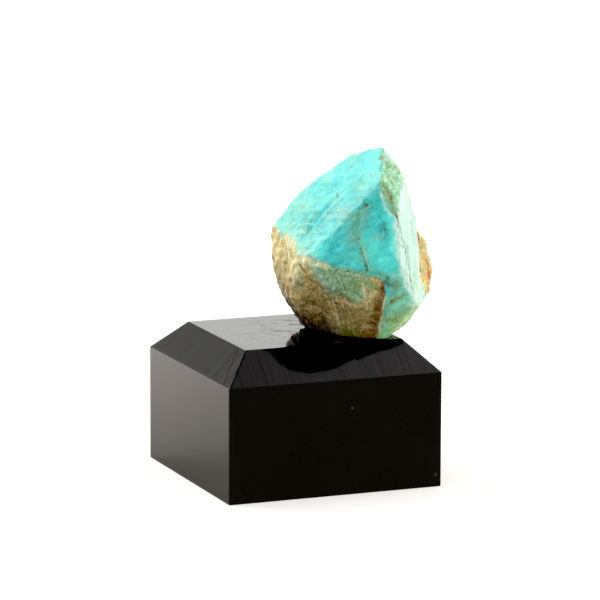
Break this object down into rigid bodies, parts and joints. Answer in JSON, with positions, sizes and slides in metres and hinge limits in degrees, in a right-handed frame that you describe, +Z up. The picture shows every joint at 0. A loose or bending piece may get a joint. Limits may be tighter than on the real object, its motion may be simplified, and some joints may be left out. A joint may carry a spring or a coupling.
{
  "type": "raw amazonite on display block",
  "caption": "Angular blue-green feldspar fragment with brown crust, resting near one corner of a bevelled black display block.",
  "frame": {"origin": "centre of the block's flat underside", "axes": "+Z up; -Y is the block's front wall and +X its right wall"},
  "size_m": [0.0328, 0.03, 0.0441],
  "materials": {
    "amazonite": "raw cleaved feldspar, satin to dull, blue-green with olive-brown and ochre crust",
    "black_acrylic": "polished black acrylic, bevels showing faint sawing marks"
  },
  "bodies": {
    "root": {"amazonite": "amazonite", "display_block": "black_acrylic"}
  },
  "joints": []
}
